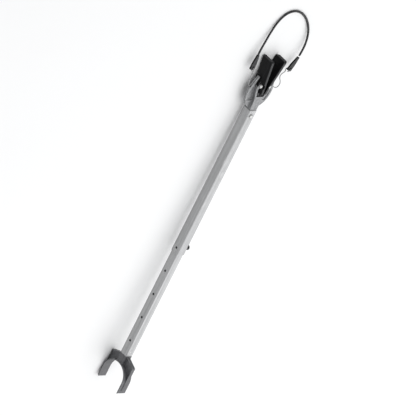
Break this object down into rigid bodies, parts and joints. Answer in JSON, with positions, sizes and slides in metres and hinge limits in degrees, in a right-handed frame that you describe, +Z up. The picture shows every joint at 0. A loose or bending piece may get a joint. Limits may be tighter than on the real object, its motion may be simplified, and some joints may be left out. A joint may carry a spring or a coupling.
{
  "type": "telescoping outboard motor support",
  "caption": "Two-piece square telescoping pole with a padded V-head, a hook-on hold-down strap and a C-shaped roller saddle, which props a tilted outboard motor on a trailer.",
  "frame": {"origin": "middle of the footprint of the support without its strap, on the surface that it lies on", "axes": "+X along the pole from the V-head to the roller saddle, +Y horizontal, out of the face that carries the lock, +Z up from the surface that it lies on"},
  "size_m": [1.2733, 0.1868, 0.0993],
  "materials": {
    "extruded_aluminium": "satin extruded aluminium with fine draw lines",
    "cast_aluminium": "as-cast aluminium, matt and slightly grainy",
    "dark_casting": "dark grey coating over a casting, low sheen",
    "zinc_steel": "zinc-plated steel",
    "hook_wire": "bright drawn steel wire",
    "black_rubber": "matt black moulded rubber",
    "black_plastic": "fine-textured black plastic"
  },
  "bodies": {
    "head": {"outer_tube": "extruded_aluminium", "yoke": "cast_aluminium", "yoke_bolt": "zinc_steel", "yoke_washer": "zinc_steel", "yoke_nut": "zinc_steel", "pad_left": "black_rubber", "pad_left_bolt": "zinc_steel", "pad_left_washer": "zinc_steel", "pad_left_nut": "zinc_steel", "pad_right": "black_rubber", "pad_right_bolt": "zinc_steel", "pad_right_washer": "zinc_steel", "pad_right_nut": "zinc_steel", "lock_bush": "zinc_steel", "lock_spring": "zinc_steel"},
    "leg": {"inner_tube": "extruded_aluminium", "roller_saddle": "dark_casting", "saddle_pin": "zinc_steel"},
    "lock": {"lock_plunger": "zinc_steel", "lock_knob": "black_plastic"},
    "hold_down": {"strap": "black_rubber", "strap_tab_left": "black_rubber", "strap_tab_right": "black_rubber", "strap_hook_left": "hook_wire", "strap_hook_right": "hook_wire"}
  },
  "joints": [
    {"name": "telescope", "type": "slide", "parent": "head", "child": "leg", "axis": [-0.9996, 0, -0.0272], "range_m": [0, 0.32]},
    {"name": "lock_pull", "type": "slide", "parent": "head", "child": "lock", "axis": [0, -1, 0], "range_m": [0, 0.0032]},
    {"name": "strap_swing", "type": "hinge", "parent": "head", "child": "hold_down", "pos_m": [-0.4655, 0, 0.02346], "axis": [0, 1, 0], "range_deg": [0, 165]}
  ]
}
